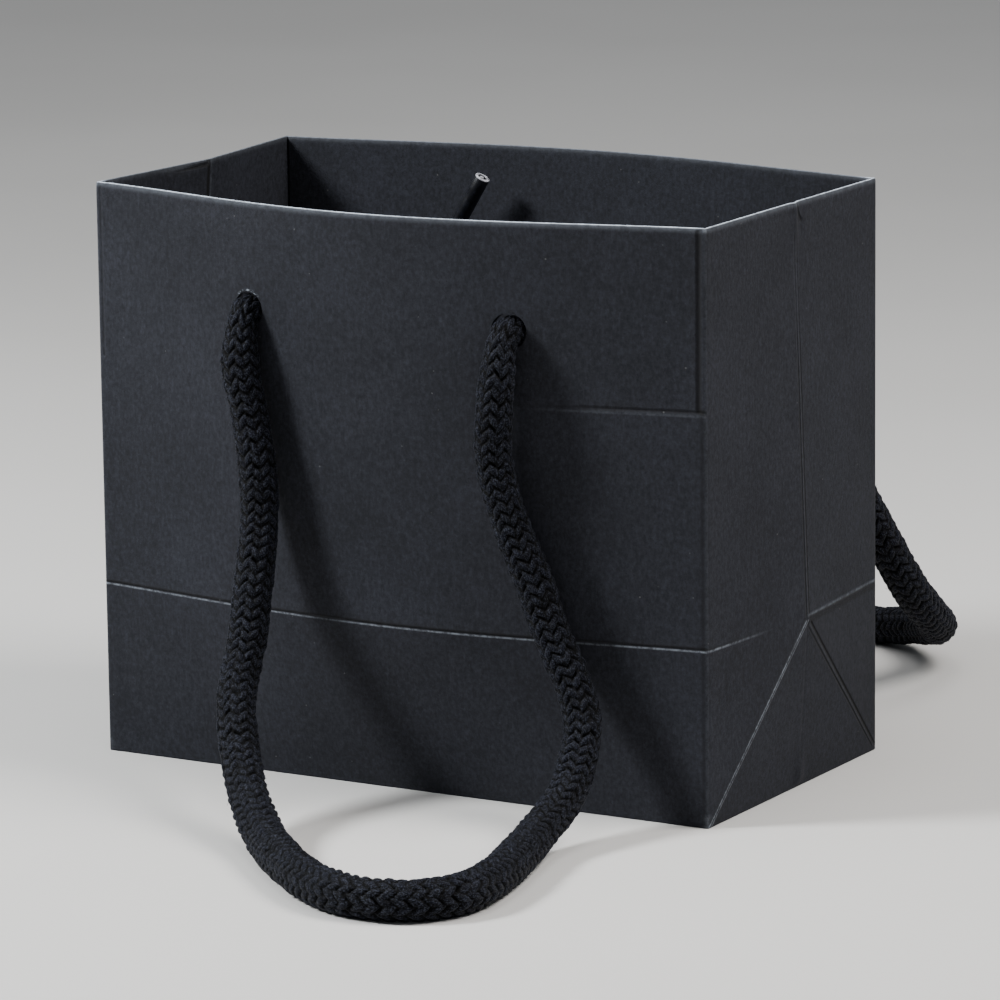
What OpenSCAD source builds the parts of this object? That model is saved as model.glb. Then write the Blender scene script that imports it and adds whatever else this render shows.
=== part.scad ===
// Small wide paper gift bag with two braided rope handles on toggle bars.
// Millimetres, +Z up.  The origin is the middle of the underside: +X runs along the
// wide front face and +Y runs from the front face to the back face.
// The bag is one folded sheet.  Its panels are separate nodes that meet at the folds.

/* [Bag] */
// Width of the bag between its vertical corner folds
bag_w = 130; // [115:1:150]
// Depth of the bag between its vertical corner folds
bag_d = 68; // [60:1:80]
// Height of the bag
bag_h = 110; // [105:1:140]
// Height of the crease that runs all round above the bottom
crease_h = 33; // [28:1:38]
// Thickness of the paper sheet
paper_t = 0.3; // [0.2:0.05:0.5]
// Glue line left between two layers of paper or card
glue_gap = 0.05; // [0.03:0.01:0.08]

/* [Shape of the opened bag] */
// How far the front panel bows out at the crease
front_bow_low = 8; // [0:0.5:10]
// How far the front panel bows out at its top edge
front_bow_top = 12; // [0:0.5:14]
// How far the back panel bows out at the crease
back_bow_low = 6; // [0:0.5:8]
// How far the back panel bows out at its top edge
back_bow_top = 9; // [0:0.5:11]
// Power of the cosine that shapes each bow across the width
bow_shape = 1.3; // [1:0.1:2]
// How far each gusset's fold point stands out at the crease
gusset_out = 2.8; // [1:0.2:4]
// How far the left gusset's centre fold is pushed in at the top
left_tuck_in = 3; // [0:0.5:4]

/* [Top edge] */
// Depth of the sheet's edge turned in over the mouth
turn_in_h = 38; // [36:1:44]
// Height of the reinforcement cards behind the rope holes
card_h = 33; // [28:1:36]
// Thickness of the reinforcement cards
card_t = 0.4; // [0.3:0.05:0.8]

/* [Base] */
// Thickness of the loose board that stiffens the base
board_t = 1.2; // [0.8:0.1:2]
// Gap round the loose board
board_gap = 2; // [1.5:0.5:3]
// Overlap of the two bottom flaps at the middle
flap_lap = 20; // [12:1:24]
// Length of the side tucks folded in under the bottom flaps
tuck_l = 30; // [20:1:32]
// Width of the glued side seam
seam_w = 14; // [10:1:18]

/* [Rope handles] */
// Diameter of the rope
rope_d = 7; // [6:0.5:7]
// Diameter of the rope where the punched hole squeezes it
squeezed_d = 6.4; // [5:0.2:6.4]
// Diameter of the punched rope holes
hole_d = 6.6; // [6.6:0.1:7.4]
// Depth of the rope holes below the mouth
hole_drop = 20; // [18:1:24]
// Distance between the two rope holes of one panel
hole_pitch = 55; // [50:1:60]
// Distance of each pair of holes from the middle of its panel, seen from outside
hole_shift = 1.5; // [0:0.5:3]

/* [Toggle bars] */
// Length of a toggle bar
toggle_l = 34; // [24:1:34]
// Outside diameter of a toggle bar
toggle_d = 3; // [2.5:0.1:3.4]
// Bore along a toggle bar
toggle_bore_d = 1.6; // [1:0.1:2]
// Diameter of the neck that grips the rope end
neck_d = 5.2; // [4.4:0.2:5.6]
// Length of the neck, from the bar's axis to the rope end
neck_l = 4; // [3.5:0.1:4]

/* [Hidden] */

half_w = bag_w / 2;
half_d = bag_d / 2;
gusset_edge = half_d - paper_t;
hole_z = bag_h - hole_drop;
turn_in_z = bag_h - turn_in_h;
card_z = bag_h - card_h;
layer = paper_t + glue_gap;
card_skin = layer;
turn_in_skin = layer + card_t + glue_gap;
wall_build = turn_in_skin + paper_t;
running_gap = 0.06;
rope_sides = 10;
grid_x = 5;
grid_z = bag_h / 10;
gusset_cells = 4;
round_fn = 64;

// Holes of the front panel; the back panel has the same pattern turned half round.
left_hole = hole_shift - hole_pitch / 2;
right_hole = hole_shift + hole_pitch / 2;

// Where each rope turns down outside its panel, and where its toggle bars lie inside.
front_pivot_y = -46;
back_pivot_y = 44.5;
front_toggle_y = -35;
back_toggle_y = 34;

// Lean of each toggle bar from upright, its top end towards +X.
lean_front_left = -18;
lean_front_right = 24;
lean_back_left = 31;
lean_back_right = -78;

// Route of each rope outside the bag, from one hole down to the floor and back up.
front_route = [
    [-26, -46, 86.6], [-25.5, -46.5, 80], [-24, -46.5, 73], [-22, -47, 63], [-21, -48, 52],
    [-20, -52, 41], [-18.5, -57, 31], [-16, -65, 22], [-10, -73, 13], [-4, -80, 8],
    [5, -89, 4], [15, -99, 3.5], [30, -111, 3.5], [40, -114, 3.5], [49, -111.5, 3.5],
    [54, -104, 3.5], [53.5, -91, 3.5], [50, -77, 3.5], [47.5, -66, 4.5], [47, -55, 8.5],
    [46, -48, 14], [45, -44.5, 20], [42, -43, 27], [38, -43, 35], [34.5, -43.5, 45],
    [30.5, -45, 56], [28, -46, 67], [28.5, -46.5, 77], [29, -46, 86.6]
];
back_route = [
    [26.5, 45, 86.5], [29.5, 46.5, 79], [35, 50, 69], [40, 53.5, 60.5], [45, 57.5, 51],
    [48, 62.5, 41], [50, 69, 31], [51, 77, 21.5], [50, 88, 14], [47, 98, 9.5],
    [41, 106, 7], [33, 112.5, 5], [24, 116, 3.5], [10, 118, 3.5], [-5, 115.5, 3.5],
    [-18, 109, 3.5], [-29, 98, 3.5], [-36, 88, 3.5], [-40, 79, 5], [-43, 69, 11.5],
    [-44, 62, 19.5], [-43.5, 57, 28], [-42, 53, 38], [-39, 49.5, 51], [-35, 47, 64],
    [-30.5, 46, 77], [-29, 44.5, 86.6]
];

// ---- functions ----

function unit(v) = v / norm(v);

// Values from a to b that also stop at every whole multiple of step between them
function stations(a, b, step) = concat(
    [a],
    [for (k = [floor(a / step + 0.001) + 1 : ceil(b / step - 0.001) - 1]) k * step],
    [b]
);

// How far a panel stands out from the plane through its corner folds
function bow_height(z, low, top) =
    z < crease_h
        ? low * z / crease_h
        : low + (top - low) * (z - crease_h) / (bag_h - crease_h);
function bow_at(x, z, low, top) =
    bow_height(z, low, top) * pow(max(0, cos(180 * x / bag_w)), bow_shape);

// How far a gusset's outer face stands out from the plane through its corner folds
function gusset_at(y, z, centre_top) =
    let (near = max(0, 1 - abs(y) / gusset_edge))
        z < crease_h
            ? gusset_out * min(z / crease_h, near)
            : near * (gusset_out + (centre_top - gusset_out) * (z - crease_h) / (bag_h - crease_h));

// Two triangles for the cell of a grid at point i, with n points to a row
function rising_cell(i, n) = [[i, i + n, i + n + 1], [i, i + n + 1, i + 1]];
function falling_cell(i, n) = [[i, i + n, i + 1], [i + 1, i + n, i + n + 1]];
function reversed(face) = [face[2], face[1], face[0]];
function shifted(face, by) = [face[0] + by, face[1] + by, face[2] + by];

function tangent(route, i) =
    unit(route[min(i + 1, len(route) - 1)] - route[max(i - 1, 0)]);

// Sideways direction of ring i, carried along the route without twist
function across(route, i) =
    let (
        along = tangent(route, i),
        carried = i == 0 ? cross(along, [1, 0, 0]) : across(route, i - 1)
    )
        unit(carried - along * (carried * along));

// ---- shared shapes ----

// Closed slab between two grids of points, given row by row from the bottom with n points
// to a row.  Cells left of the fold column are cut along their rising diagonal.
module grid_slab(outer, inner, n, fold = 0) {
    count = len(outer);
    rows = count / n;
    skin = [
        for (k = [0 : rows - 2])
            for (i = [0 : n - 2])
                each (i < fold ? rising_cell(k * n + i, n) : falling_cell(k * n + i, n))
    ];
    back = [for (face = skin) shifted(reversed(face), count)];
    rim = concat(
        [for (i = [0 : n - 1]) i],
        [for (k = [1 : rows - 1]) k * n + n - 1],
        [for (i = [n - 2 : -1 : 0]) (rows - 1) * n + i],
        [for (k = [rows - 2 : -1 : 1]) k * n]
    );
    side = [
        for (k = [0 : len(rim) - 1])
            let (a = rim[k], b = rim[(k + 1) % len(rim)])
                each [[a, b, b + count], [a, b + count, a + count]]
    ];
    polyhedron(concat(outer, inner), concat(skin, back, side));
}

// One layer of a bowed panel that faces -Y, from skin to skin + thick behind the outer face
module bowed_layer(low, top, half, z0, z1, skin, thick) {
    xs = stations(-half, half, grid_x);
    zs = stations(z0, z1, grid_z);
    outer = [for (z = zs) for (x = xs) [x, skin - half_d - bow_at(x, z, low, top), z]];
    inner = [for (p = outer) p + [0, thick, 0]];
    grid_slab(outer, inner, len(xs));
}

// One layer of a gusset that faces +X, over the heights zs and the columns ys
module gusset_layer(centre_top, ys, zs, skin) {
    outer = [for (z = zs) for (y = ys) [half_w - skin + gusset_at(y, z, centre_top), y, z]];
    inner = [for (p = outer) p - [paper_t, 0, 0]];
    grid_slab(outer, inner, len(ys), len([for (y = ys) if (y < -0.001) y]));
}

// Two rope holes along Y, in the pattern of a panel that faces -Y
module rope_holes() {
    for (x = [left_hole, right_hole])
        translate([x, 0, hole_z])
            rotate([90, 0, 0])
                cylinder(h = bag_d, d = hole_d, $fn = round_fn);
}

// Turns a shape that faces -Y to face +Y
module to_back() {
    rotate([0, 0, 180])
        children();
}

// Gusset that faces +X, folded along its centre line, its crease and its two diagonals
module gusset(centre_top) {
    columns = [for (k = [-gusset_cells : gusset_cells]) gusset_edge * k / gusset_cells];
    rows = concat(
        [for (k = [0 : gusset_cells - 1]) crease_h * k / gusset_cells],
        stations(crease_h, bag_h, grid_z)
    );
    gusset_layer(centre_top, columns, rows, 0);
}

// Turned-in top edge behind a gusset that faces +X
module gusset_turn_in(centre_top) {
    edge = half_d - wall_build - glue_gap;
    gusset_layer(centre_top, stations(-edge, edge, gusset_edge / gusset_cells),
        stations(turn_in_z, bag_h, grid_z), layer);
}

// Round tube swept along a route, with flat ends
module rope_tube(route) {
    n = rope_sides;
    rings = len(route);
    points = [
        for (i = [0 : rings - 1])
            let (u = across(route, i), v = cross(u, tangent(route, i)))
                for (k = [0 : n - 1])
                    route[i] + (u * cos(360 * k / n) + v * sin(360 * k / n)) * rope_d / 2
    ];
    wall = [
        for (i = [0 : rings - 2])
            for (k = [0 : n - 1])
                let (a = i * n + k, b = i * n + (k + 1) % n)
                    each [[a, b, a + n], [b, b + n, a + n]]
    ];
    first_end = [for (k = [n - 1 : -1 : 0]) k];
    last_end = [for (k = [0 : n - 1]) (rings - 1) * n + k];
    polyhedron(points, concat(wall, [first_end, last_end]));
}

// Rope end from its toggle's neck out through the wall to the ball it turns down on
module rope_end(x, toggle_y, pivot_y) {
    side = sign(pivot_y);
    start = abs(toggle_y) + neck_l + running_gap;
    translate([x, side * start, hole_z])
        rotate([-90 * side, 0, 0])
            cylinder(h = abs(pivot_y) - start, d = squeezed_d, $fn = round_fn);
    translate([x, pivot_y, hole_z])
        sphere(d = squeezed_d, $fn = round_fn);
}

// Hollow toggle bar with the neck that grips the rope end
module toggle(x, y, lean) {
    translate([x, y, hole_z])
        rotate([0, lean, 0])
            difference() {
                union() {
                    cylinder(h = toggle_l, d = toggle_d, center = true, $fn = round_fn);
                    rotate([-90 * sign(y), 0, 0])
                        cylinder(h = neck_l, d = neck_d, $fn = round_fn);
                }
                cylinder(h = toggle_l + 2, d = toggle_bore_d, center = true, $fn = round_fn);
            }
}

// ---- the folded sheet ----

module front_panel() {
    color("#2b2d33")
        difference() {
            bowed_layer(front_bow_low, front_bow_top, half_w, 0, bag_h, 0, paper_t);
            rope_holes();
        }
}

module back_panel() {
    color("#2b2d33")
        to_back()
            difference() {
                bowed_layer(back_bow_low, back_bow_top, half_w, 0, bag_h, 0, paper_t);
                rope_holes();
            }
}

module right_gusset() {
    color("#303238")
        gusset(0);
}

module left_gusset() {
    color("#303238")
        to_back()
            gusset(-left_tuck_in);
}

module bottom_flap_front() {
    reach = half_d - paper_t + flap_lap / 2;
    color("#26282d")
        translate([-half_w + paper_t, -half_d + paper_t, layer])
            cube([bag_w - 2 * paper_t, reach, paper_t]);
}

module bottom_flap_back() {
    reach = half_d - paper_t + flap_lap / 2;
    color("#26282d")
        translate([-half_w + paper_t, half_d - paper_t - reach, 0])
            cube([bag_w - 2 * paper_t, reach, paper_t]);
}

// Side tuck that folds in from the right gusset's bottom edge
module bottom_tuck() {
    root = half_d - paper_t;
    x = half_w - paper_t;
    translate([0, 0, 2 * layer])
        linear_extrude(paper_t)
            polygon([[x, -root], [x, root], [x - tuck_l, root - tuck_l], [x - tuck_l, tuck_l - root]]);
}

module bottom_tuck_right() {
    color("#26282d")
        bottom_tuck();
}

module bottom_tuck_left() {
    color("#26282d")
        to_back()
            bottom_tuck();
}

// Glued edge of the sheet, inside the front half of the left gusset below its turned-in top
module side_seam() {
    color("#26282d")
        to_back()
            gusset_layer(-left_tuck_in, stations(0, seam_w, gusset_edge / gusset_cells),
                stations(crease_h + grid_z / 2, turn_in_z - glue_gap, grid_z), layer);
}

module turn_in_front() {
    color("#1f2025")
        difference() {
            bowed_layer(front_bow_low, front_bow_top, half_w - wall_build,
                turn_in_z, bag_h, turn_in_skin, paper_t);
            rope_holes();
        }
}

module turn_in_back() {
    color("#1f2025")
        to_back()
            difference() {
                bowed_layer(back_bow_low, back_bow_top, half_w - wall_build,
                    turn_in_z, bag_h, turn_in_skin, paper_t);
                rope_holes();
            }
}

module turn_in_right() {
    color("#1f2025")
        gusset_turn_in(0);
}

module turn_in_left() {
    color("#1f2025")
        to_back()
            gusset_turn_in(-left_tuck_in);
}

// ---- stiffeners ----

module card_front() {
    color("#8c7a62")
        difference() {
            bowed_layer(front_bow_low, front_bow_top, half_w - wall_build,
                card_z, bag_h - paper_t, card_skin, card_t);
            rope_holes();
        }
}

module card_back() {
    color("#8c7a62")
        to_back()
            difference() {
                bowed_layer(back_bow_low, back_bow_top, half_w - wall_build,
                    card_z, bag_h - paper_t, card_skin, card_t);
                rope_holes();
            }
}

module base_board() {
    color("#8c7a62")
        translate([-half_w + board_gap, -half_d + board_gap, 3 * layer])
            cube([bag_w - 2 * board_gap, bag_d - 2 * board_gap, board_t]);
}

// ---- rope handles ----

module front_handle_rope() {
    color("#17181b")
        rope_tube(front_route);
}

module back_handle_rope() {
    color("#17181b")
        rope_tube(back_route);
}

module front_rope_end_left() {
    color("#17181b")
        rope_end(left_hole, front_toggle_y, front_pivot_y);
}

module front_rope_end_right() {
    color("#17181b")
        rope_end(right_hole, front_toggle_y, front_pivot_y);
}

module back_rope_end_left() {
    color("#17181b")
        rope_end(-right_hole, back_toggle_y, back_pivot_y);
}

module back_rope_end_right() {
    color("#17181b")
        rope_end(-left_hole, back_toggle_y, back_pivot_y);
}

module toggle_front_left() {
    color("#3a3c42")
        toggle(left_hole, front_toggle_y, lean_front_left);
}

module toggle_front_right() {
    color("#3a3c42")
        toggle(right_hole, front_toggle_y, lean_front_right);
}

module toggle_back_left() {
    color("#3a3c42")
        toggle(-right_hole, back_toggle_y, lean_back_left);
}

module toggle_back_right() {
    color("#3a3c42")
        toggle(-left_hole, back_toggle_y, lean_back_right);
}

front_panel();
back_panel();
right_gusset();
left_gusset();
bottom_flap_front();
bottom_flap_back();
bottom_tuck_right();
bottom_tuck_left();
side_seam();
turn_in_front();
turn_in_back();
turn_in_right();
turn_in_left();
card_front();
card_back();
base_board();
front_handle_rope();
front_rope_end_left();
front_rope_end_right();
back_handle_rope();
back_rope_end_left();
back_rope_end_right();
toggle_front_left();
toggle_front_right();
toggle_back_left();
toggle_back_right();
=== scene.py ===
"""A small wide gift bag of black paper with two braided rope handles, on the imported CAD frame.

Metres throughout. The mouth is up, the wide front faces -Y, and the bag stands on z = 0.
"""

import math

import bpy
import numpy as np
from mathutils import Matrix, Vector


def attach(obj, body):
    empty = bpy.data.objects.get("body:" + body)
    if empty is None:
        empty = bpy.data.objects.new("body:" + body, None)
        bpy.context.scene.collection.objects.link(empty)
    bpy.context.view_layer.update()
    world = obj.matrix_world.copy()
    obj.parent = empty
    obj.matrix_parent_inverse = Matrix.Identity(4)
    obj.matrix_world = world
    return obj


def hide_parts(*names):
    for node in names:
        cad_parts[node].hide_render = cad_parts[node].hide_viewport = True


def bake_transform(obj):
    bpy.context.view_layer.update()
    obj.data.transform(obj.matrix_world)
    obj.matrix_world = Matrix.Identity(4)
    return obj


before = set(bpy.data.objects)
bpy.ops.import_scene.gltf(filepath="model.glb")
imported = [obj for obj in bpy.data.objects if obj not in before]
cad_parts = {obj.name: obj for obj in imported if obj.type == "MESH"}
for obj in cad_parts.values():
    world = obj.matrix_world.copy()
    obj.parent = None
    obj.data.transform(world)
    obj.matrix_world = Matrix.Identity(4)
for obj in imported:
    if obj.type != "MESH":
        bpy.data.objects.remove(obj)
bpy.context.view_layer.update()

MM = 0.001

# ---------------------------------------------------------------- the bag's sizes, as in the CAD
HALF_W, HALF_D, HEIGHT = 65.0, 34.0, 110.0
CREASE = 33.0
PAPER, GAP, CARD = 0.3, 0.05, 0.4
TURN_IN = 38.0
HOLE_Z, HOLE_R = 90.0, 3.3
HOLES_FRONT, HOLES_BACK = (-26.0, 29.0), (-29.0, 26.0)
PIVOT_FRONT, PIVOT_BACK = -46.0, 44.5
TOGGLE_FRONT, TOGGLE_BACK = -35.0, 34.0
BOWS = {"front": (8.0, 12.0), "back": (6.0, 9.0)}
BOW_SHAPE = 1.3
GUSSET_OUT, LEFT_TUCK, GUSSET_REACH = 2.8, 3.0, 33.7

# ---------------------------------------------------------------- camera
AZIMUTH, ELEVATION, ROLL = math.radians(30.11), math.radians(11.567), math.radians(-0.678)
AIM = Vector((0.0, 0.0, 0.055))
DISTANCE, SHIFT_RIGHT, SHIFT_UP = 1.14171, 0.00223, -0.00621
LENS, SENSOR = 217.12, 36.0

back = Vector((math.sin(AZIMUTH) * math.cos(ELEVATION),
               -math.cos(AZIMUTH) * math.cos(ELEVATION), math.sin(ELEVATION)))
level = Vector((math.cos(AZIMUTH), math.sin(AZIMUTH), 0.0))
lift = back.cross(level)
right = math.cos(ROLL) * level + math.sin(ROLL) * lift
up = -math.sin(ROLL) * level + math.cos(ROLL) * lift
camera = bpy.data.objects.new("camera", bpy.data.cameras.new("camera"))
bpy.context.collection.objects.link(camera)
camera.data.lens, camera.data.sensor_width = LENS, SENSOR
camera.data.clip_start, camera.data.clip_end = 0.05, 50.0
camera.matrix_world = Matrix.Translation(
    AIM + SHIFT_RIGHT * right + SHIFT_UP * up + DISTANCE * back
) @ Matrix((right, up, back)).transposed().to_4x4()
bpy.context.scene.camera = camera


# ---------------------------------------------------------------- helpers
SPLINE_CUTS, SPLINE_SMOOTHING = 40, 60


def new_mesh(name, points, faces, smooth=True):
    """A mesh object from points in millimetres."""
    mesh = bpy.data.meshes.new(name)
    mesh.from_pydata((np.asarray(points, float) * MM).tolist(), [], faces)
    mesh.validate()
    mesh.update()
    if smooth:
        mesh.shade_smooth()
    piece = bpy.data.objects.new(name, mesh)
    bpy.context.collection.objects.link(piece)
    return piece


def smoothstep(x, low, high):
    """0 below low, 1 above high, with a smooth step between them."""
    t = np.clip((np.asarray(x, float) - low) / (high - low), 0.0, 1.0)
    return t * t * (3 - 2 * t)


def spline(points, step):
    """Evenly spaced points, step apart, on a smooth curve through the given ones."""
    p = np.array(points, float)
    p = np.vstack([2 * p[0] - p[1], p, 2 * p[-1] - p[-2]])
    line = []
    for i in range(1, len(p) - 2):
        a, b, c, d = p[i - 1], p[i], p[i + 1], p[i + 2]
        t0 = 0.0
        t1 = t0 + np.linalg.norm(b - a) ** 0.5
        t2 = t1 + np.linalg.norm(c - b) ** 0.5
        t3 = t2 + np.linalg.norm(d - c) ** 0.5
        t = np.linspace(t1, t2, SPLINE_CUTS, endpoint=False)[:, None]
        a1 = (t1 - t) / (t1 - t0) * a + (t - t0) / (t1 - t0) * b
        a2 = (t2 - t) / (t2 - t1) * b + (t - t1) / (t2 - t1) * c
        a3 = (t3 - t) / (t3 - t2) * c + (t - t2) / (t3 - t2) * d
        b1 = (t2 - t) / (t2 - t0) * a1 + (t - t0) / (t2 - t0) * a2
        b2 = (t3 - t) / (t3 - t1) * a2 + (t - t1) / (t3 - t1) * a3
        line.append((t2 - t) / (t2 - t1) * b1 + (t - t1) / (t2 - t1) * b2)
    line = np.vstack(line + [p[-2][None]])
    for _ in range(SPLINE_SMOOTHING):
        line[1:-1] = 0.25 * line[:-2] + 0.5 * line[1:-1] + 0.25 * line[2:]
    run = np.concatenate([[0], np.cumsum(np.linalg.norm(np.diff(line, axis=0), axis=1))])
    n = int(round(run[-1] / step))
    even = np.linspace(0, run[-1], n + 1)
    return np.column_stack([np.interp(even, run, line[:, k]) for k in range(3)]), even


def carried(line, first):
    """Tangents and two normals along a line, carried along it without twist."""
    tangent = np.gradient(line, axis=0)
    tangent /= np.linalg.norm(tangent, axis=1)[:, None]
    u = np.array(first, float)
    across = []
    for t in tangent:
        u = u - t * (u @ t)
        u = u / np.linalg.norm(u)
        across.append(u)
    across = np.array(across)
    return tangent, across, np.cross(tangent, across)


# ---------------------------------------------------------------- rope handles
ROPE_D, SQUEEZED_D, NECK_D = 7.5, 6.0, 4.4       # free, in the hole, and in the toggle's sleeve
SLEEVE_OUT, TURN_OUT, TURN_DROP = 2.6, 2.2, 0.8  # from the sleeve to where the rope turns down
STITCH, COLUMNS, SLANT = 2.3, 14, 0.55           # a stitch's length, rows round the rope, and lean
RELIEF, ROUGHNESS = 1.15, 0.02                   # the valleys' depth, and the yarn's unevenness
ROPE_STEP, ROPE_SIDES = 0.3, 98
LIES_AT, FLATTENED = 0.05, 0.1                   # the underside is nearly flat where it lies
FIBRES, BARE_RINGS = 900, 60                     # loose fibres, and rings at each end without them


def braid(along, around, rng):
    """Height of the braid, 0 to 1: slanting leaf-shaped stitches, two mirrored rows to a column."""
    w = around / (2 * np.pi) * COLUMNS
    best = np.zeros(np.broadcast(along, around).shape)
    uneven = rng.normal(0, 1, (COLUMNS, 400, 3))
    for shift in (-1, 0, 1):
        row = np.floor(w) + shift
        a = w - row - 0.5
        odd = row % 2
        slant = np.where(odd == 0, SLANT, -SLANT)
        phase = along / STITCH + slant * a + 0.25 * odd + 1
        which = uneven[(row % COLUMNS).astype(int), np.floor(phase).astype(int)]
        k = phase % 1.0 - 0.5 + 0.035 * which[..., 0]
        width = np.clip(1 - (np.abs(k) / 0.49) ** 2.2, 0, 1) ** 0.6
        length = np.clip(1 - (np.abs(a) / 0.70) ** 2.2, 0, 1) ** 0.7
        rise = 0.90 + 0.09 * which[..., 1]
        best = np.maximum(best, width * length * rise)
    return np.clip(best, 0, 1) ** 0.6


NEEDLE_R, NEEDLE_LOW, NEEDLE_POINTS = 0.026, 0.06, 7
NEEDLE_FACES = [(2, 1, 0), (0, 1, 4, 3), (1, 2, 5, 4), (2, 0, 3, 5), (3, 4, 6), (4, 5, 6), (5, 3, 6)]


def needle(centre, across):
    """The points of a closed three-sided needle along three centre points."""
    across = across / np.linalg.norm(across)
    points = []
    for k in (0, 1):
        along = centre[k + 1] - centre[k]
        other = np.cross(along / np.linalg.norm(along), across)
        other /= np.linalg.norm(other)
        points += [centre[k] + NEEDLE_R * (math.cos(t) * across + math.sin(t) * other)
                   for t in (0, 2 * math.pi / 3, 4 * math.pi / 3)]
    return np.array(points + [centre[2]])


def rope(name, route, side, seed):
    """A braided rope along the route, with its two ends going into the toggles' necks."""
    pivot, toggle, holes = ((PIVOT_FRONT, TOGGLE_FRONT, HOLES_FRONT) if side < 0
                            else (PIVOT_BACK, TOGGLE_BACK, HOLES_BACK))
    neck = toggle + side * SLEEVE_OUT
    ends = []
    for x in (route[0][0], route[-1][0]):
        hole = min(holes, key=lambda h: abs(h - x))
        ends.append([[hole, neck, HOLE_Z], [hole, neck + side * SLEEVE_OUT, HOLE_Z],
                     [hole, pivot - side * TURN_OUT, HOLE_Z - TURN_DROP]])
    points = ends[0] + route[1:-1] + ends[1][::-1]
    line, run = spline(points, ROPE_STEP)
    _, u, v = carried(line, (1.0, 0.0, 0.0))
    total = run[-1]
    near = np.minimum(run, total - run)
    angle = np.linspace(0, 2 * np.pi, ROPE_SIDES, endpoint=False)
    rng = np.random.default_rng(seed)
    knots = np.linspace(0, total, 60)
    wander = np.interp(run, knots, rng.normal(0, 0.10, len(knots)))
    # the rope is a little thicker along its middle and pulled thinner towards its second end
    pull = np.interp(run, knots, rng.normal(0, 0.03, len(knots))) + np.interp(
        run / total, (0.0, 0.08, 0.18, 0.45, 0.62, 0.80, 1.0),
        (0.0, 0.0, 0.04, 0.09, 0.04, -0.07, -0.07))
    height = braid(run[:, None] + wander[:, None],
                   angle[None, :] + 0.08 * np.sin(run / 19)[:, None], rng)
    full = (NECK_D / 2 + (SQUEEZED_D - NECK_D) / 2 * smoothstep(near, 0.5, 3.2)
            + (ROPE_D - SQUEEZED_D) / 2 * smoothstep(near, 7, 16))
    radius = (full[:, None] * (1 + pull[:, None] * 0.5)
              - RELIEF * (1 - height) * smoothstep(near, 1, 5)[:, None])
    radius = radius + rng.normal(0, ROUGHNESS, height.shape)
    ring = (np.cos(angle)[None, :, None] * u[:, None, :]
            + np.sin(angle)[None, :, None] * v[:, None, :]) * radius[:, :, None]
    grid = line[:, None, :] + ring
    flat = grid.reshape(-1, 3)
    low = flat[:, 2] < LIES_AT
    flat[low, 2] = LIES_AT + (flat[low, 2] - LIES_AT) * FLATTENED
    n, m = len(line), ROPE_SIDES
    faces = [(i * m + j, i * m + (j + 1) % m, (i + 1) * m + (j + 1) % m, (i + 1) * m + j)
             for i in range(n - 1) for j in range(m)]
    faces += [tuple(range(m))[::-1], tuple(range((n - 1) * m, n * m))]
    turn = np.broadcast_to(angle[None, :], height.shape)
    coords = np.stack([np.cos(turn) * 3.5, np.sin(turn) * 3.5,
                       np.broadcast_to(run[:, None], height.shape)], -1).reshape(-1, 3)
    # loose fibres that stand out from the braid
    outward = ring.reshape(-1, 3) / np.linalg.norm(ring.reshape(-1, 3), axis=1)[:, None]
    roots = rng.choice(np.arange(BARE_RINGS * m, (n - BARE_RINGS) * m), FIBRES, replace=False)
    stray, index = [], len(flat)
    for root in roots:
        sideways = np.cross(outward[root], rng.normal(0, 1, 3))
        sideways /= np.linalg.norm(sideways)
        long = rng.uniform(0.35, 1.0)
        start = flat[root] - 0.15 * outward[root]
        middle = start + 0.62 * long * (0.75 * outward[root] + 0.65 * sideways)
        tip = middle + 0.5 * long * (0.35 * outward[root] + 0.9 * sideways)
        centre = np.array([start, middle, tip])
        centre[:, 2] = np.maximum(centre[:, 2], NEEDLE_LOW)
        stray.append(needle(centre, np.cross(outward[root], sideways)))
        faces += [tuple(index + k for k in face) for face in NEEDLE_FACES]
        index += NEEDLE_POINTS
    flat = np.vstack([flat] + stray)
    height = np.concatenate([height.ravel(), np.full(NEEDLE_POINTS * FIBRES, 0.9)])
    coords = np.vstack([coords, np.repeat(coords[roots], NEEDLE_POINTS, axis=0)])
    piece = new_mesh(name, flat, faces)
    mesh = piece.data
    value = mesh.attributes.new("braid", "FLOAT", "POINT")
    value.data.foreach_set("value", height.astype(np.float32))
    place = mesh.attributes.new("place", "FLOAT_VECTOR", "POINT")
    place.data.foreach_set("vector", coords.astype(np.float32).ravel())
    return piece, line, total


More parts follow.
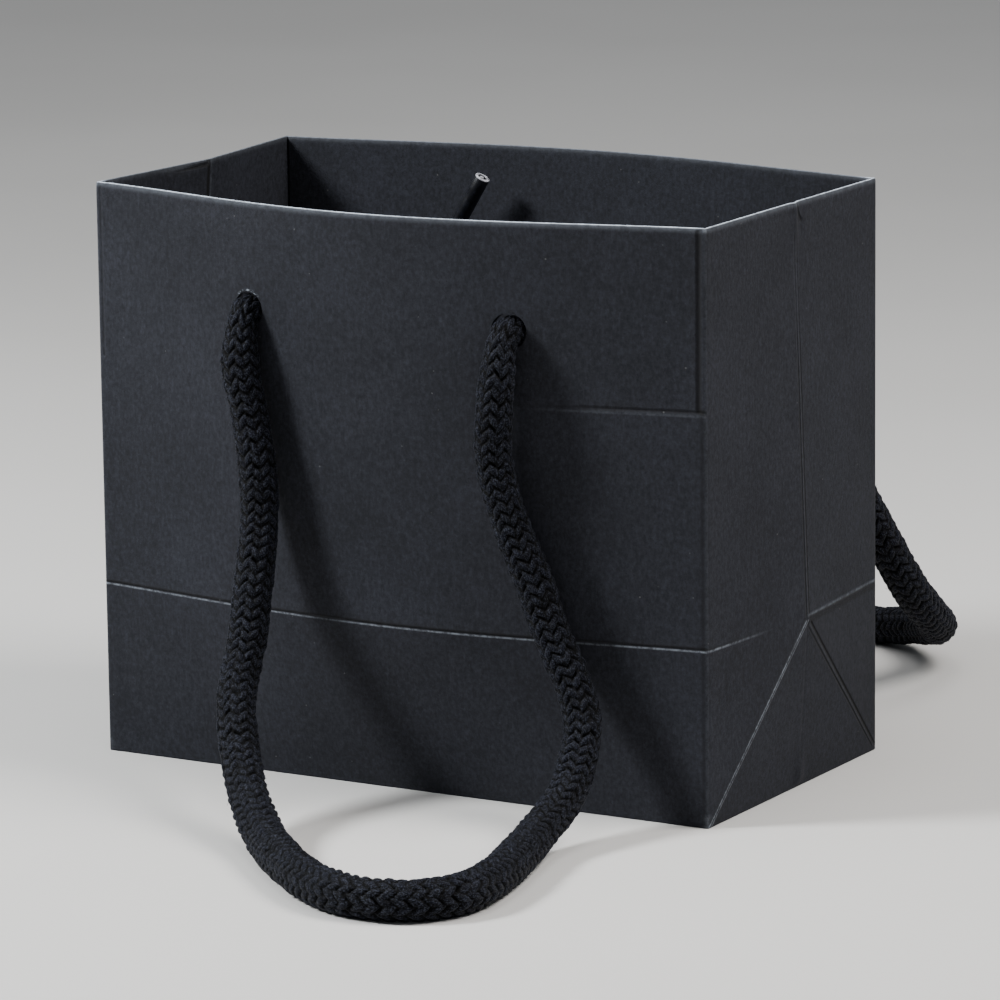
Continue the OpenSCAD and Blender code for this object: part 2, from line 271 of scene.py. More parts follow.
FRONT_ROUTE = [
    [-26, -46, 86.6], [-25.5, -46.5, 80], [-24, -46.5, 73], [-22, -47, 63], [-21, -48, 52],
    [-20, -52, 41], [-18.5, -57, 31], [-16, -65, 22], [-10, -73, 13], [-4, -80, 8],
    [5, -89, 4], [15, -99, 3.5], [30, -111, 3.5], [40, -114, 3.5], [49, -111.5, 3.5],
    [54, -104, 3.5], [53.5, -91, 3.5], [50, -77, 3.5], [47.5, -66, 4.5], [47, -55, 8.5],
    [46, -48, 14], [45, -44.5, 20], [42, -43, 27], [38, -43, 35], [34.5, -43.5, 45],
    [30.5, -45, 56], [28, -46, 67], [28.5, -46.5, 77], [29, -46, 86.6]]
BACK_ROUTE = [
    [26.5, 45, 86.5], [29.5, 46.5, 79], [35, 50, 69], [40, 53.5, 60.5], [45, 57.5, 51],
    [48, 62.5, 41], [50, 69, 31], [51, 77, 21.5], [50, 88, 14], [47, 98, 9.5],
    [41, 106, 7], [33, 112.5, 5], [24, 116, 3.5], [10, 118, 3.5], [-5, 115.5, 3.5],
    [-18, 109, 3.5], [-29, 98, 3.5], [-36, 88, 3.5], [-40, 79, 5], [-43, 69, 11.5],
    [-44, 62, 19.5], [-43.5, 57, 28], [-42, 53, 38], [-39, 49.5, 51], [-35, 47, 64],
    [-30.5, 46, 77], [-29, 44.5, 86.6]]

ropes = {}
for side, label, route, pivot, seed in ((-1, "front", FRONT_ROUTE, PIVOT_FRONT, 3),
                                        (1, "back", BACK_ROUTE, PIVOT_BACK, 8)):
    piece, line, total = rope(f"{label}_rope", route, side, seed)
    ropes[label] = (piece, line, total)
    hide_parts(f"{label}_handle_rope", f"{label}_rope_end_left", f"{label}_rope_end_right")
    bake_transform(piece)

# ---------------------------------------------------------------- toggles
# name, x, y, side, and the bar's lean from upright in degrees
TOGGLES = [("front_left", HOLES_FRONT[0], TOGGLE_FRONT, -1, -18.0),
           ("front_right", HOLES_FRONT[1], TOGGLE_FRONT, -1, 24.0),
           ("back_left", HOLES_BACK[0], TOGGLE_BACK, 1, 31.0),
           ("back_right", HOLES_BACK[1], TOGGLE_BACK, 1, -78.0)]
BAR_L, BAR_R, BORE_R, BORE_DEEP = 34.0, 1.5, 0.8, 7.0
BEVEL, RIM, PLUG_SAG = 0.25, 0.1, 0.17


def turned(profile, sides, centre, axis, start):
    """Points and faces of a profile of (radius, along) turned about an axis."""
    axis = np.array(axis, float) / np.linalg.norm(axis)
    u = np.array(start, float)
    u -= axis * (u @ axis)
    u /= np.linalg.norm(u)
    v = np.cross(axis, u)
    angle = np.linspace(0, 2 * np.pi, sides, endpoint=False)
    points = [np.array(centre) + axis * h + r * (math.cos(t) * u + math.sin(t) * v)
              for r, h in profile for t in angle]
    faces = [(i * sides + j, i * sides + (j + 1) % sides,
              (i + 1) * sides + (j + 1) % sides, (i + 1) * sides + j)
             for i in range(len(profile) - 1) for j in range(sides)]
    faces += [tuple(range(sides))[::-1],
              tuple(range((len(profile) - 1) * sides, len(profile) * sides))]
    return points, faces


def toggle(label, x, y, side, lean):
    """A moulded bar bored from both ends, two end plugs, and the sleeve that grips the rope's end."""
    half = BAR_L / 2
    mid = [(BAR_R + 0.14 * math.exp(-(h / 3.2) ** 2), h) for h in np.linspace(-9, 9, 19)]
    bar = [(0.02, -half + BORE_DEEP), (BORE_R * 0.96, -half + BORE_DEEP - 0.1), (BORE_R, -half + 0.5),
           (BORE_R + 0.06, -half + 0.12), (BORE_R + 0.16, -half), (BAR_R - BEVEL, -half),
           (BAR_R - 0.07, -half + 0.07), (BAR_R, -half + BEVEL), (BAR_R, -half + 3)]
    plug = [(0.02, -half + 0.05), (0.35, -half + 0.08), (0.56, -half + 0.22), (0.62, -half + 0.6),
            (0.62, -half + 2.0), (0.02, -half + 2.1)]
    ends = [(r, -h) for r, h in reversed(bar)]
    lean = math.radians(lean)
    points, faces = turned(bar + mid + ends, 32, (x, y, HOLE_Z),
                           (math.sin(lean), 0, math.cos(lean)), (0, 1, 0))
    sleeve = [(1.1, 0.0), (1.9, 0.3), (2.35, 0.9), (2.5, 1.4), (2.6, 1.6), (2.6, 1.95), (2.46, 2.1),
              (2.46, 2.45), (2.6, 2.6), (2.6, 2.95), (2.46, 3.1), (2.46, 3.45), (2.6, 3.6),
              (2.6, 3.9), (2.5, 4.05), (2.3, 4.06), (2.25, 3.6)]
    more, fresh = turned(sleeve, 40, (x, y, HOLE_Z), (0, side, 0), (1, 0, 0))
    faces += [tuple(i + len(points) for i in f) for f in fresh]
    points = list(points) + list(more)
    plain = len(faces)
    # two end plugs, set a little off centre in the bore; their near-white colour is a painted highlight
    for end in (1, -1):
        sag = (x - PLUG_SAG * math.cos(lean), y, HOLE_Z + PLUG_SAG * math.sin(lean))
        along = (-end * math.sin(lean), 0, -end * math.cos(lean))
        more, fresh = turned(plug, 20, sag, along, (0, 1, 0))
        faces += [tuple(i + len(points) for i in f) for f in fresh]
        points += list(more)
    piece = new_mesh(f"toggle_{label}_bar", points, faces)
    along = np.array([(p[0] - x) * math.sin(lean) + (p[2] - HOLE_Z) * math.cos(lean) for p in points])
    value = piece.data.attributes.new("rim", "FLOAT", "POINT")
    value.data.foreach_set("value", (np.abs(along) > half - RIM).astype(np.float32))
    kinds = np.zeros(len(piece.data.polygons), np.int32)
    kinds[plain:] = 1
    piece.data.polygons.foreach_set("material_index", kinds)
    piece.data.set_sharp_from_angle(angle=math.radians(38))
    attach(piece, f"{label}_toggle")
    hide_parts(f"toggle_{label}")
    return piece


toggles = {label: toggle(label, x, y, side, lean) for label, x, y, side, lean in TOGGLES}
for label, hole, pivot in (("front", HOLES_FRONT[0], PIVOT_FRONT), ("back", HOLES_BACK[1], PIVOT_BACK)):
    piece, line, total = ropes[label]


# ---------------------------------------------------------------- the folded paper
def bow(z, side):
    low, top = BOWS[side]
    z = np.asarray(z, float)
    return np.where(z < CREASE, low * z / CREASE, low + (top - low) * (z - CREASE) / (HEIGHT - CREASE))


def gusset_out(y, z, side):
    """How far the gusset stands out from x = 65 at y and z."""
    near = np.maximum(0, 1 - np.abs(y) / GUSSET_REACH)
    top = 0.0 if side == "right" else -LEFT_TUCK
    middle = GUSSET_OUT + (top - GUSSET_OUT) * (z - CREASE) / (HEIGHT - CREASE)
    return np.where(z < CREASE, GUSSET_OUT * np.minimum(z / CREASE, near), near * middle)


def ripple(a, z, seed):
    """Slow waviness of a panel, 0 to 1; perimeter() fades it out at the panel's edges."""
    rng = np.random.default_rng(seed)
    total = np.zeros(np.broadcast(a, z).shape)
    for _ in range(7):
        ka, kz = rng.uniform(-0.16, 0.16), rng.uniform(0.03, 0.13)
        total = total + np.sin(ka * a + kz * z + rng.uniform(0, 6.3))
    return 0.5 + 0.5 * np.clip(total / 4.0, -1, 1)


CORNER_R, CORNER_TIGHT, ARC = 0.55, 0.12, 5      # the fold's radius, its least, and its segments
PANEL_WAVE, GUSSET_WAVE = 0.30, 0.12
GUSSET_EDGE, GUSSET_STEPS = 33.2, 33
front_t = np.linspace(-1, 1, 84)                 # columns of the wide panels, as shares
gusset_t = GUSSET_REACH * (1 - np.arange(GUSSET_STEPS, 0, -1) / GUSSET_STEPS)
gusset_t = np.concatenate([[0.0, 0.3], gusset_t[1:], [GUSSET_REACH]])
gusset_t = np.unique(np.concatenate([-gusset_t, gusset_t]))
gusset_t = gusset_t[np.abs(gusset_t) <= GUSSET_EDGE]


def bell(t, centre, width):
    return np.exp(-((t - centre) / width) ** 2)


def perimeter(z, inset, is_inner, wave):
    """One closed ring of points at height z (one for each column), inset from the outer face."""
    r = max(CORNER_R - inset, CORNER_TIGHT)
    cx, cy = HALF_W - inset - r, HALF_D - inset - r
    ring = []
    sides = [("front", -1), ("right", 1), ("back", 1), ("left", -1)]
    for k, (side, sign) in enumerate(sides):
        if side in ("front", "back"):
            x = front_t * cx * -sign
            arch = np.maximum(0, np.cos(np.pi * x / (2 * HALF_W))) ** BOW_SHAPE
            y = sign * (HALF_D - inset + bow(z, side) * arch)
            fade = (smoothstep(HALF_W - np.abs(x), 1, 14) * smoothstep(z, 0, 8)
                    * smoothstep(HEIGHT - z, 0, 6))
            y = y + sign * wave * fade * PANEL_WAVE * ripple(x, z, 5 if side == "front" else 6)
            pts = np.column_stack([x, y, np.full_like(x, z)])
        else:
            y = gusset_t / GUSSET_EDGE * cy * sign
            seam = slack = 0.0
            if is_inner and side == "left":
                seam = PAPER * smoothstep(-y, -0.2, 0.2) * (1 - smoothstep(-y, 13.6, 14.2))
            if side == "right":
                kink = (0.45 * bell(y, 0.3, 0.9) * smoothstep(z, 99, 109.5)
                        - 0.35 * bell(y, 2.6, 1.1) * smoothstep(z, 101, 106) * smoothstep(HEIGHT - z, 0, 3))
                pinch = 0.5 * bell(y, 1.2, 1.6) * smoothstep(9 - z, 0, 8) * smoothstep(z, 0, 1.5)
                slack = kink + pinch
            fade = (smoothstep(HALF_D - np.abs(y), 1, 10) * smoothstep(z, 6, 14)
                    * smoothstep(HEIGHT - z, 0, 6))
            x = sign * (HALF_W - inset - seam + gusset_out(gusset_t * sign, z, side) + slack
                        + wave * fade * GUSSET_WAVE * ripple(y, z, 7 if side == "right" else 9))
            pts = np.column_stack([x, y, np.full_like(y, z)])
        ring.append(pts)
        centre = np.array([[cx, -cy], [cx, cy], [-cx, cy], [-cx, -cy]][k])
        start = [-90, 0, 90, 180][k]
        for j in range(1, ARC):
            t = math.radians(start + 90 * j / ARC)
            ring.append(np.array([[centre[0] + r * math.cos(t), centre[1] + r * math.sin(t), z]]))
    return np.vstack(ring)


DOUBLE = PAPER + GAP + PAPER
FOLD_Z = 109.5                                   # where the top edge starts to turn over
TURN_IN_Z = HEIGHT - TURN_IN
outer_z = sorted(list(np.arange(1, 33)) + [32.6, 33.0, 33.4] + list(np.linspace(34.6, 108.9, 52)) + [109.3])
# the outside's rows: height, inset, whether it is the inner side, and its share of the waviness
rows = [(0.0, 0.24, False, 0), (0.02, 0.12, False, 0), (0.1, 0.03, False, 0), (0.3, 0.0, False, 0)]
rows += [(z, 0.0, False, 1) for z in outer_z]


def shell():
    """The sheet: up the outside, over the top fold, down inside as the turn-in, back up, and down."""
    # each column's kind: True on a wide panel, False on a gusset, None in a corner
    corner = [None] * (ARC - 1)
    kind = ([True] * len(front_t) + corner + [False] * len(gusset_t) + corner) * 2
    columns = len(kind)
    carded_columns = np.array([k is True for k in kind])[:, None]
    body = [perimeter(z, d, inner, wave) for z, d, inner, wave in rows]

    def at(z, first, inset_of, inner=False):
        """A ring whose inset differs between the carded walls and the gussets."""
        plain = perimeter(z, first + inset_of[0], inner, 0.0)
        carded = perimeter(z, first + inset_of[1], inner, 0.0)
        return np.where(carded_columns, carded, plain)

    thick = (DOUBLE, DOUBLE + CARD + GAP)
    for turn in np.linspace(0, math.pi, 9)[1:-1]:
        share = (1 - math.cos(turn)) / 2
        z_up = 0.5 * math.sin(turn)
        body.append(at(FOLD_Z + z_up, 0, (thick[0] * share, thick[1] * share)))
    body += [at(z, 0, thick, True) for z in np.linspace(109.2, TURN_IN_Z + 0.15, 26)]
    body.append(at(TURN_IN_Z, -0.1, thick, True))
    under = (PAPER + GAP, PAPER + GAP + CARD + GAP)
    body.append(at(TURN_IN_Z, 0.04, under, True))
    body += [at(z, 0.02, under, True) for z in np.linspace(TURN_IN_Z + 0.4, 109.1, 8)]
    body += [perimeter(z, PAPER, True, 0) for z in np.linspace(109.15, TURN_IN_Z + 1, 8)]
    inner_z = [z for z in outer_z if z < TURN_IN_Z][::-1]
    body += [perimeter(z, PAPER, True, 0.0 if z > 70 else 1.0) for z in inner_z]
    body += [perimeter(0.32, PAPER, True, 0), perimeter(0.0, PAPER, True, 0)]
    n = len(body)
    points = np.vstack(body)
    faces = []
    for i in range(n):
        for j in range(columns):
            a, b = i * columns + j, i * columns + (j + 1) % columns
            c, d = (i + 1) % n * columns + (j + 1) % columns, (i + 1) % n * columns + j
            y = points[a][1] + points[b][1]
            z = min(points[a][2], points[c][2])
            if kind[j] is False and z < CREASE:
                # below the crease each gusset face is split along the fold that it lies nearest
                inside = i > len(rows) + 10
                flip = ((y > 0) == (points[a][0] > 0)) != inside
                faces += [(a, b, c), (a, c, d)] if flip else [(a, b, d), (b, c, d)]
            else:
                faces.append((a, b, c, d))
    return new_mesh("paper_bag", points, faces)


WALL_FRONT, WALL_BACK, CUT_REACH = -42.0, 40.0, 9


def bored(piece, holes):
    """Punches the four rope holes through the paper."""
    points, faces = [], []
    for x, y in holes:
        more, fresh = turned([(HOLE_R, -CUT_REACH), (HOLE_R, CUT_REACH)], 48, (x, y, HOLE_Z),
                             (0, 1, 0), (1, 0, 0))
        faces += [tuple(i + len(points) for i in f) for f in fresh]
        points += list(more)
    cutter = new_mesh("cutter", points, faces, smooth=False)
    cut = piece.modifiers.new("holes", "BOOLEAN")
    cut.operation, cut.object, cut.solver = "DIFFERENCE", cutter, "EXACT"
    mesh = bpy.data.meshes.new_from_object(piece.evaluated_get(bpy.context.evaluated_depsgraph_get()))
    piece.modifiers.clear()
    piece.data = mesh
    bpy.data.objects.remove(cutter)
    return piece


paper_bag = bored(shell(), [(x, WALL_FRONT) for x in HOLES_FRONT] + [(x, WALL_BACK) for x in HOLES_BACK])
paper_bag.data.shade_smooth()
paper_bag.data.set_sharp_from_angle(angle=math.radians(42))
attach(paper_bag, "bag")
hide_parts("front_panel", "back_panel", "right_gusset", "left_gusset", "side_seam",
            "turn_in_front", "turn_in_back", "turn_in_right", "turn_in_left")


# ---------------------------------------------------------------- materials
class Graph:
    """A node material built from a Principled shader."""

    def __init__(self, name, **sockets):
        self.material = bpy.data.materials.new(name)
        self.material.use_nodes = True
        self.tree = self.material.node_tree
        self.shader = next(n for n in self.tree.nodes if n.type == "BSDF_PRINCIPLED")
        for key, value in sockets.items():
            self.shader.inputs[key.replace("_", " ")].default_value = value

    def node(self, kind, *inputs, out=0, **settings):
        node = self.tree.nodes.new("ShaderNode" + kind)
        for key, value in settings.items():
            setattr(node, key, value)
        for key, value in inputs:
            socket = node.inputs[key]
            if isinstance(value, bpy.types.NodeSocket):
                self.tree.links.new(value, socket)
            else:
                socket.default_value = value
        return node.outputs[out]

    def place(self):
        """Object coordinates, which are metres in the shared frame."""
        return self.node("TexCoord", out=3)

    def math(self, operation, *values, clamp=False):
        return self.node("Math", *enumerate(values), operation=operation, use_clamp=clamp)

    def vector(self, operation, *values, out=0):
        return self.node("VectorMath", *enumerate(values), operation=operation, out=out)

    def ramp(self, value, low, high, to_low=0.0, to_high=1.0):
        return self.node("MapRange", (0, value), (1, low), (2, high), (3, to_low), (4, to_high),
                         interpolation_type="SMOOTHSTEP")

    def noise(self, where, scale, detail=3.0, rough=0.55, distortion=0.0):
        return self.node("TexNoise", ("Vector", where), ("Scale", scale), ("Detail", detail),
                         ("Roughness", rough), ("Distortion", distortion))

    def mix(self, share, a, b):
        """A colour between a and b."""
        node = self.tree.nodes.new("ShaderNodeMix")
        node.data_type = "RGBA"
        for index, value in ((0, share), (6, a), (7, b)):
            if isinstance(value, bpy.types.NodeSocket):
                self.tree.links.new(value, node.inputs[index])
            else:
                node.inputs[index].default_value = value
        return node.outputs[2]

    def out(self, socket, value):
        self.tree.links.new(value, self.shader.inputs[socket])

    def bump(self, height, distance, strength=1.0, normal=None):
        inputs = [("Height", height), ("Distance", distance), ("Strength", strength)]
        if normal is not None:
            inputs.append(("Normal", normal))
        return self.node("Bump", *inputs)


def grey(value, blue=1.0, red=1.0):
    """A colour of one brightness with its blue and red scaled."""
    return (value * red, value, value * blue, 1.0)


def paper_material():
    g = Graph("black_paper", Roughness=0.8, Specular_IOR_Level=0.22)
    where = g.place()
    split = g.node("SeparateXYZ", (0, where))
    x, y, z = (split.node.outputs[k] for k in range(3))
    stretch = g.node("Mapping", ("Vector", where), ("Scale", (1.0, 1.0, 0.35)))
    fibre = g.noise(stretch, 1900.0, 4.0, 0.65)
    mottle = g.noise(where, 1150.0, 5.0, 0.75)
    cloud = g.noise(where, 45.0, 3.0, 0.5)
    grain = g.noise(where, 5200.0, 2.0, 0.6)
    flecks = g.ramp(g.noise(where, 2900.0, 3.0, 0.75), 0.60, 0.74)
    speck = g.node("TexVoronoi", ("Vector", where), ("Scale", 330.0), ("Randomness", 1.0))
    dust = g.math("MULTIPLY", g.ramp(speck, 0.075, 0.03), g.ramp(g.noise(where, 410.0, 1.0), 0.57, 0.62))

    def times(*values):
        result = values[0]
        for value in values[1:]:
            result = g.math("MULTIPLY", result, value)
        return result

    def total(values):
        result = values[0]
        for value in values[1:]:
            result = g.math("ADD", result, value)
        return result

    def line(a, b, width):
        """1 on the line from a to b, falling to 0 at that width either side (points in mm)."""
        a, b = Vector(a) * MM, Vector(b) * MM
        ba = b - a
        pa = g.vector("SUBTRACT", where, tuple(a))
        reach = g.vector("DOT_PRODUCT", pa, tuple(ba), out=1)
        h = g.math("MULTIPLY", reach, 1 / ba.length_squared, clamp=True)
        along = g.node("VectorMath", (0, tuple(ba)), ("Scale", h), operation="SCALE")
        return g.ramp(g.vector("LENGTH", g.vector("SUBTRACT", pa, along), out=1), width * MM, 0.0)

    def level_line(height, width):
        return g.ramp(g.math("ABSOLUTE", g.math("SUBTRACT", z, height * MM)), width * MM, 0.0)

    grooves, worn_and_lit, painted_shade = [], [], []

    def feature(shape, depth=0.0, light=0.0, shade=0.0):
        """A line in the paper: how deep it is, how pale it is from abrasion and painted highlight, and how
        much painted shade lies along it.
        """
        for kept, amount in ((grooves, depth), (worn_and_lit, light), (painted_shade, shade)):
            if amount:
                kept.append(times(shape, amount))

    wide_face = g.ramp(g.math("ABSOLUTE", y), 0.0337, 0.0339)
    front_face = g.ramp(y, -0.0337, -0.0339)
    gusset_face = g.ramp(g.math("ABSOLUTE", y), 0.0341, 0.0338)
    # the level crease on the wide walls: a groove, a pale line just below it that is partly abrasion and
    # partly painted highlight, and painted shade just above it
    feature(times(level_line(CREASE, 0.42), wide_face), depth=1.0)
    feature(times(level_line(CREASE - 0.2, 0.32), wide_face), light=0.27)
    feature(times(level_line(CREASE + 0.4, 0.42), wide_face), shade=0.9)
    front_half = g.ramp(y, -0.033, -0.010, 1.0, 0.0)
    back_half = g.ramp(y, -0.001, 0.001)
    # the level crease across the gussets: a groove with a pale line below it on the front half, and on the
    # back half a raised fold with a pale line on it and painted shade under it; the pale lines are partly
    # abrasion and partly painted highlight
    feature(times(level_line(CREASE, 0.45), gusset_face, front_half), depth=0.8)
    feature(times(level_line(CREASE - 0.1, 0.4), gusset_face, front_half), light=0.30)
    feature(times(level_line(CREASE, 0.7), gusset_face, back_half), depth=-0.9)
    feature(times(level_line(CREASE + 0.1, 0.5), gusset_face, back_half), light=0.13)
    feature(times(level_line(CREASE - 1.0, 0.8), gusset_face, back_half), shade=0.7)
    lower = g.ramp(z, 0.074, 0.098, 1.0, 0.22)
    for sx in (1, -1):
        top = HALF_W + (0 if sx > 0 else -LEFT_TUCK)
        apex = (sx * (HALF_W + GUSSET_OUT), 0.0, CREASE)
        # the centre crease, above the level one: its two grooves, with painted shade in them, and the ridge
        # between them, with a faint painted highlight on it
        for y_top, y_low, width, depth, light, shade in (
                (-0.45, -0.45, 0.40, 0.9, 0.0, 0.7), (0.50, 0.55, 0.36, 1.0, 0.0, 0.9),
                (0.05, 0.05, 0.28, 0.0, 0.05, 0.0)):
            crease = line((sx * top, y_top, HEIGHT), (apex[0], y_low, CREASE), width)
            feature(times(crease, lower), depth, light, shade)
        # a short kink at the top of the right gusset and a faint line down from the apex, both with painted
        # shade in them
        if sx > 0:
            feature(line((top, 0.6, HEIGHT - 0.3), (top, 3.1, HEIGHT - 3.6), 0.75), depth=1.4, shade=1.0)
        feature(line(apex, (sx * HALF_W, 1.8, 1), 0.7), depth=0.14, shade=0.12)
        # the two slanting folds that run down to the bottom corners: the front one raised, with pale lines
        # of painted highlight along it, and the back one a double groove with painted shade in it and a
        # faint painted highlight between
        for dy, light in ((-0.42, 0.40), (0.42, 0.26)):
            feature(line((apex[0], dy, CREASE - 0.8), (sx * HALF_W, -HALF_D + dy + 0.5, 0), 0.30),
                    depth=-0.5, light=light)
        feature(line((apex[0], 0, CREASE), (sx * HALF_W, -HALF_D + 0.5, 0), 0.30), depth=0.5)
        for y_top, drop, edge, z_low, width, depth, light, shade in (
                (1.6, 1.5, 0.9, 1.2, 0.56, 1.0, 0.0, 1.6), (0.6, 2.2, 2.4, 1.4, 0.36, 0.6, 0.0, 1.2),
                (1.1, 1.8, 1.6, 1.2, 0.26, 0.0, 0.05, 0.0)):
            feature(line((apex[0], y_top, CREASE - drop), (sx * HALF_W, HALF_D - edge, z_low), width),
                    depth, light, shade)
        # the upright corners, pale along their length from abrasion and painted highlight, and abraded
        # palest at their ends
        for sy in (-1, 1):
            for low, high, width, light in ((0, HEIGHT, 0.7, 0.05 if sx > 0 else 0.12),
                                            (0, 1.6, 1.6, 0.10), (109.6, HEIGHT, 0.8, 0.2)):
                foot, head = ((sx * HALF_W, sy * HALF_D, end) for end in (low, high))
                feature(line(foot, head, width), light=light)
    # the stiffening card's end and lower edge, pressed through the front, with painted shade along them, a
    # line of painted shade inside the front right corner below the card, and a faint painted highlight
    # under the lower edge
    feature(line((63.6, -HALF_D, 77), (63.7, -HALF_D, 109.2), 0.85), depth=1.3, shade=1.0)
    feature(line((-63.7, -HALF_D, 77), (-63.7, -HALF_D, 109), 0.5), depth=0.5, shade=0.3)
    feature(line((64.1, -HALF_D, 1), (64.1, -HALF_D, 77), 0.6), shade=0.6)
    low_edge = times(front_face, g.ramp(x, 0.026, 0.050))
    feature(times(level_line(76.6, 0.55), low_edge), depth=0.8, shade=0.65)
    feature(times(level_line(75.9, 0.4), low_edge), light=0.06)
    # the glued seam inside the left gusset, with painted shade along it and under the doubled top edge, and
    # a faint painted highlight beside it
    feature(line((-61.2, -0.1, HEIGHT), (-64.2, -0.1, 72), 0.85), depth=1.5, shade=4.0)
    feature(line((-61.2, 1.2, HEIGHT), (-64.2, 1.2, 72), 0.6), light=0.08)
    feature(line((-62.6, -11.0, 108.9), (-61.3, -0.8, 109.1), 0.6), depth=1.4, shade=3.0)
    groove = total(grooves)

    # the folded rim: a painted highlight on its rounded edge and a fainter painted highlight in a band
    # below it, brightest along the front and the right side, which face the lamps
    rim_noise = g.ramp(g.noise(where, 700.0, 3.0), 0.30, 0.60, 0.6, 1.0)
    lit_sides = g.math("ADD", g.ramp(y, -0.030, -0.034), g.ramp(x, 0.060, 0.0645), clamp=True)
    rim = times(g.ramp(z, 0.10982, 0.10997), rim_noise, g.ramp(lit_sides, 0.0, 1.0, 0.26, 1.0))
    lit_band = times(g.ramp(z, 0.10870, 0.10975), g.ramp(lit_sides, 0.0, 1.0, 0.04, 0.09), rim_noise)
    # the paper is torn light above the front left hole
    frayed = g.ramp(g.noise(where, 1500.0, 3.0, 0.8), 0.50, 0.62)
    off_x, off_z = g.math("SUBTRACT", x, HOLES_FRONT[0] * MM), g.math("SUBTRACT", z, HOLE_Z * MM)
    off = g.vector("LENGTH", g.node("CombineXYZ", (0, off_x), (1, off_z), (2, 0.0)), out=1)
    ring = g.math("ABSOLUTE", g.math("SUBTRACT", off, (HOLE_R + 0.1) * MM))
    torn = times(g.ramp(ring, 0.0005, 0.0), g.ramp(z, 0.0922, 0.0932), front_face, frayed)
    # pale lines of abrasion and painted highlight, the rim's painted highlight, and the torn paper, in
    # patches
    patchiness = g.ramp(g.noise(where, 900.0, 4.0, 0.75), 0.34, 0.62, 0.15, 1.0)
    wear_and_highlight = total([times(total(worn_and_lit), patchiness), rim, lit_band, times(torn, 0.8)])

    moved = g.node("Mapping", ("Vector", where), ("Location", (0.3, 0.2, 0.1)))
    pits = g.ramp(g.noise(moved, 1500.0, 3.0, 0.7), 0.60, 0.75)
    tone = total([times(fibre, 0.32), times(mottle, 0.58), times(cloud, 0.20), times(flecks, 0.20),
                  times(pits, -0.16)])
    deep, pale = grey(0.0056, 1.46, 0.90), grey(0.0250, 1.38, 0.92)
    crease_shade_colour, abraded_and_lit_colour, dusty = grey(0.0012, 1.4), grey(0.50, 1.14, 0.90), grey(0.10)
    colour = g.mix(g.ramp(tone, 0.38, 0.84), deep, pale)
    # painted shade in the creases, grooves and seams
    colour = g.mix(g.math("MULTIPLY", total(painted_shade), 0.8, clamp=True), colour, crease_shade_colour)
    # pale abrasion, painted highlights and the torn paper
    colour = g.mix(g.math("MULTIPLY", wear_and_highlight, 0.9, clamp=True), colour, abraded_and_lit_colour)
    colour = g.mix(times(dust, 0.6), colour, dusty)
    g.out("Base Color", colour)
    height = total([times(fibre, 0.30), times(mottle, 0.5), times(grain, 0.2)])
    fine = g.bump(height, 0.00014, 0.9)
    g.out("Normal", g.bump(times(groove, -1.0), 0.00030, 1.0, fine))
    return g.material


def rope_material():
    g = Graph("black_rope", Roughness=0.6, Specular_IOR_Level=0.07,
              Sheen_Weight=0.02, Sheen_Roughness=0.4)
    height = g.node("Attribute", attribute_name="braid", out=2)
    where = g.node("Attribute", attribute_name="place", out=1)
    strand = g.noise(where, 2.4, 4.0, 0.7)
    fine = g.noise(g.node("Mapping", ("Vector", where), ("Scale", (1.0, 1.0, 0.7))), 5.2, 2.0, 0.6)
    broad = g.noise(where, 0.16, 3.0)
    # the braid's valleys are painted near black as shade, and the stitch tops are lighter
    tone = g.math("MULTIPLY", g.ramp(height, 0.60, 1.0), g.ramp(strand, 0.30, 0.72, 0.15, 1.0))
    valley_shade, bluish, greyer = grey(0.00025, 1.1), grey(0.0032, 2.5, 0.72), grey(0.0042, 1.8, 0.80)
    colour = g.mix(tone, valley_shade, g.mix(g.ramp(broad, 0.40, 0.62), bluish, greyer))
    # painted glints of light on the stitch tops
    glint = g.math("MULTIPLY", g.ramp(fine, 0.50, 0.62), g.ramp(height, 0.45, 0.85))
    colour = g.mix(g.math("MULTIPLY", glint, 0.8), colour, grey(0.038, 1.42, 0.90))
    g.out("Base Color", colour)
    rough = g.math("ADD", g.math("MULTIPLY", fine, 0.5), g.math("MULTIPLY", strand, 0.5))
    g.out("Normal", g.bump(rough, 0.00026, 1.0))
    return g.material


def toggle_material():
    g = Graph("moulded_toggle", Roughness=0.3, Specular_IOR_Level=0.32)
    where = g.place()
    scuff = g.noise(where, 1400.0, 4.0, 0.7)
    haze = g.noise(where, 160.0, 2.0)
    colour = g.mix(g.ramp(scuff, 0.4, 0.75), grey(0.003, 1.5, 0.9), grey(0.010, 1.5, 0.9))
    # the bar's end rims are painted pale, partly abrasion and partly painted highlight
    rim = g.node("Attribute", attribute_name="rim", out=2)
    rim_wear_and_highlight = g.math("MULTIPLY", rim, g.ramp(scuff, 0.35, 0.6, 0.35, 1.0))
    g.out("Base Color", g.mix(rim_wear_and_highlight, colour, grey(0.38, 1.1)))
    g.out("Roughness", g.ramp(haze, 0.3, 0.7, 0.24, 0.42))
    g.out("Normal", g.bump(scuff, 0.00002, 0.4))
    return g.material


def toggle_end_material():
    g = Graph("toggle_end", Roughness=0.4, Specular_IOR_Level=0.5)
    # the end plugs are near white, a painted highlight for the glint of light at the bar's ends
    where = g.place()
    worn_and_lit = g.noise(where, 900.0, 3.0, 0.7)
    g.out("Base Color", g.mix(g.ramp(worn_and_lit, 0.35, 0.6), grey(0.6), grey(0.9)))
    g.out("Normal", g.bump(worn_and_lit, 0.00003, 0.5))
    return g.material


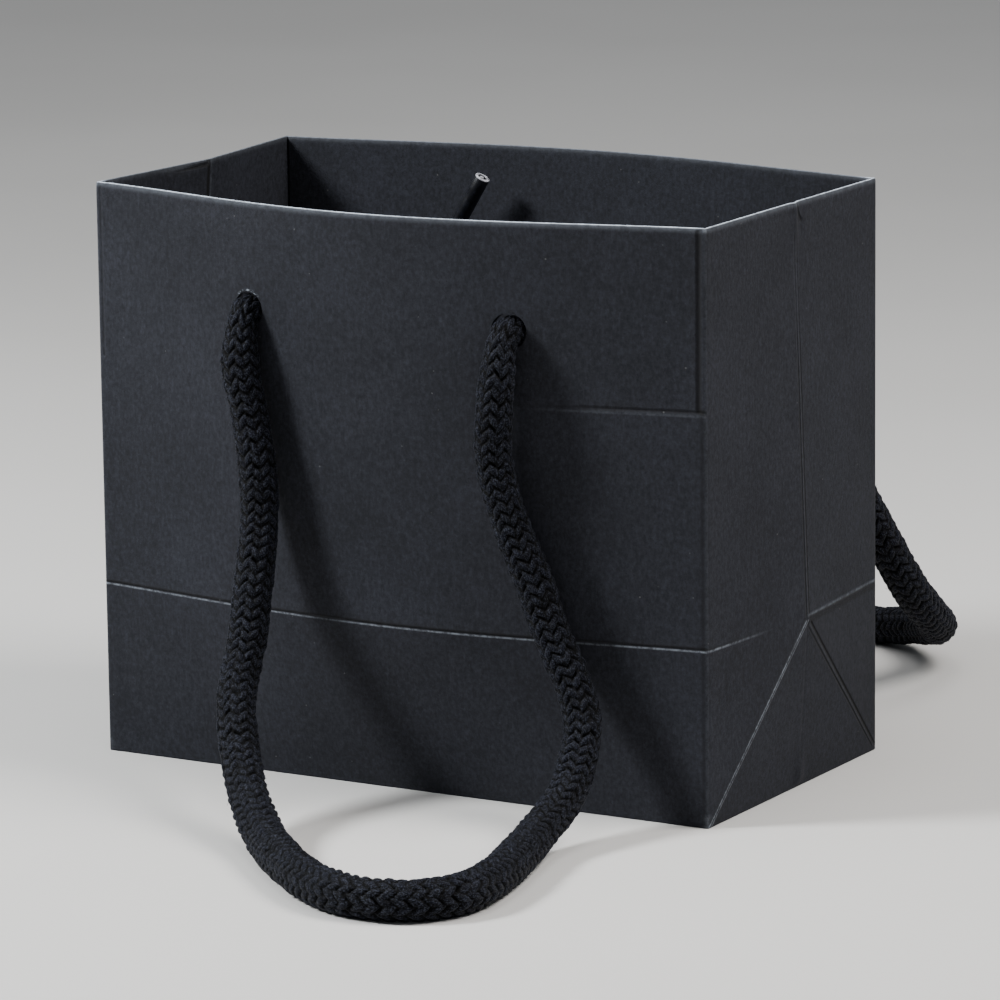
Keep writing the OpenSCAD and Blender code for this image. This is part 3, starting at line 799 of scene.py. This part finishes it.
def board_material():
    g = Graph("lined_board", Roughness=0.85, Specular_IOR_Level=0.3)
    where = g.place()
    pulp = g.noise(where, 1100.0, 5.0, 0.7)
    cloud = g.noise(where, 60.0, 3.0)
    mixed = g.math("ADD", g.math("MULTIPLY", pulp, 0.7), g.math("MULTIPLY", cloud, 0.4))
    g.out("Base Color", g.mix(g.ramp(mixed, 0.35, 0.75), grey(0.020, 1.15), grey(0.034, 1.15)))
    g.out("Normal", g.bump(pulp, 0.00006, 0.5))
    return g.material


paper, braided, moulded, end, board = (
    paper_material(), rope_material(), toggle_material(), toggle_end_material(), board_material())


def paint(piece, *materials):
    """Puts these materials on a piece, in place of any it has."""
    piece.data.materials.clear()
    for material in materials:
        piece.data.materials.append(material)


paint(paper_bag, paper)
for label in ("front", "back"):
    paint(ropes[label][0], braided)
for piece in toggles.values():
    paint(piece, moulded, end)
for name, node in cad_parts.items():
    if name.startswith("bottom_"):
        paint(node, paper)
    if name.startswith("card_") or name == "base_board":
        paint(node, board)

# ---------------------------------------------------------------- floor and light
FLOOR = 4000
floor = new_mesh("floor", [(-FLOOR, -FLOOR, 0), (FLOOR, -FLOOR, 0), (FLOOR, FLOOR, 0), (-FLOOR, FLOOR, 0)],
                 [(0, 1, 2, 3)], smooth=False)
g = Graph("pale_floor", Roughness=0.7, Specular_IOR_Level=0.3)
tone = g.noise(g.place(), 3.0, 3.0)
g.out("Base Color", g.mix(g.ramp(tone, 0.3, 0.7), (0.52, 0.51, 0.495, 1), (0.56, 0.55, 0.535, 1)))
paint(floor, g.material)

world = bpy.data.worlds.new("studio")
bpy.context.scene.world = world
world.use_nodes = True
world.node_tree.nodes["Background"].inputs[0].default_value = (0.86, 0.92, 1.0, 1)
world.node_tree.nodes["Background"].inputs[1].default_value = 0.18


def area_light(name, azimuth, elevation, distance, size, power, colour=(1, 1, 1)):
    """A round soft light that faces the bag, placed by its direction from there in degrees."""
    a, e = math.radians(azimuth), math.radians(elevation)
    way = Vector((math.sin(a) * math.cos(e), -math.cos(a) * math.cos(e), math.sin(e)))
    lamp = bpy.data.objects.new(name, bpy.data.lights.new(name, "AREA"))
    bpy.context.collection.objects.link(lamp)
    lamp.data.shape, lamp.data.size, lamp.data.energy, lamp.data.color = "DISK", size, power, colour
    lamp.location = AIM + way * distance
    lamp.rotation_mode = "QUATERNION"
    lamp.rotation_quaternion = (-way).to_track_quat("-Z", "Y")


area_light("key", -47, 38, 0.74, 0.18, 9.6, (0.96, 0.985, 1.0))
area_light("left_fill", -82, 38, 1.7, 0.9, 2, (0.95, 0.975, 1.0))
area_light("right_fill", 98, 50, 0.66, 0.36, 6.0, (1.0, 0.975, 0.95))
area_light("overhead", -5, 74, 1.7, 0.9, 4)
# an even light from straight above keeps the floor pale far from the bag
ceiling = bpy.data.objects.new("ceiling", bpy.data.lights.new("ceiling", "SUN"))
bpy.context.collection.objects.link(ceiling)
ceiling.data.energy, ceiling.data.angle = 0.55, math.radians(25)
ceiling.location = (0, 0, 2)
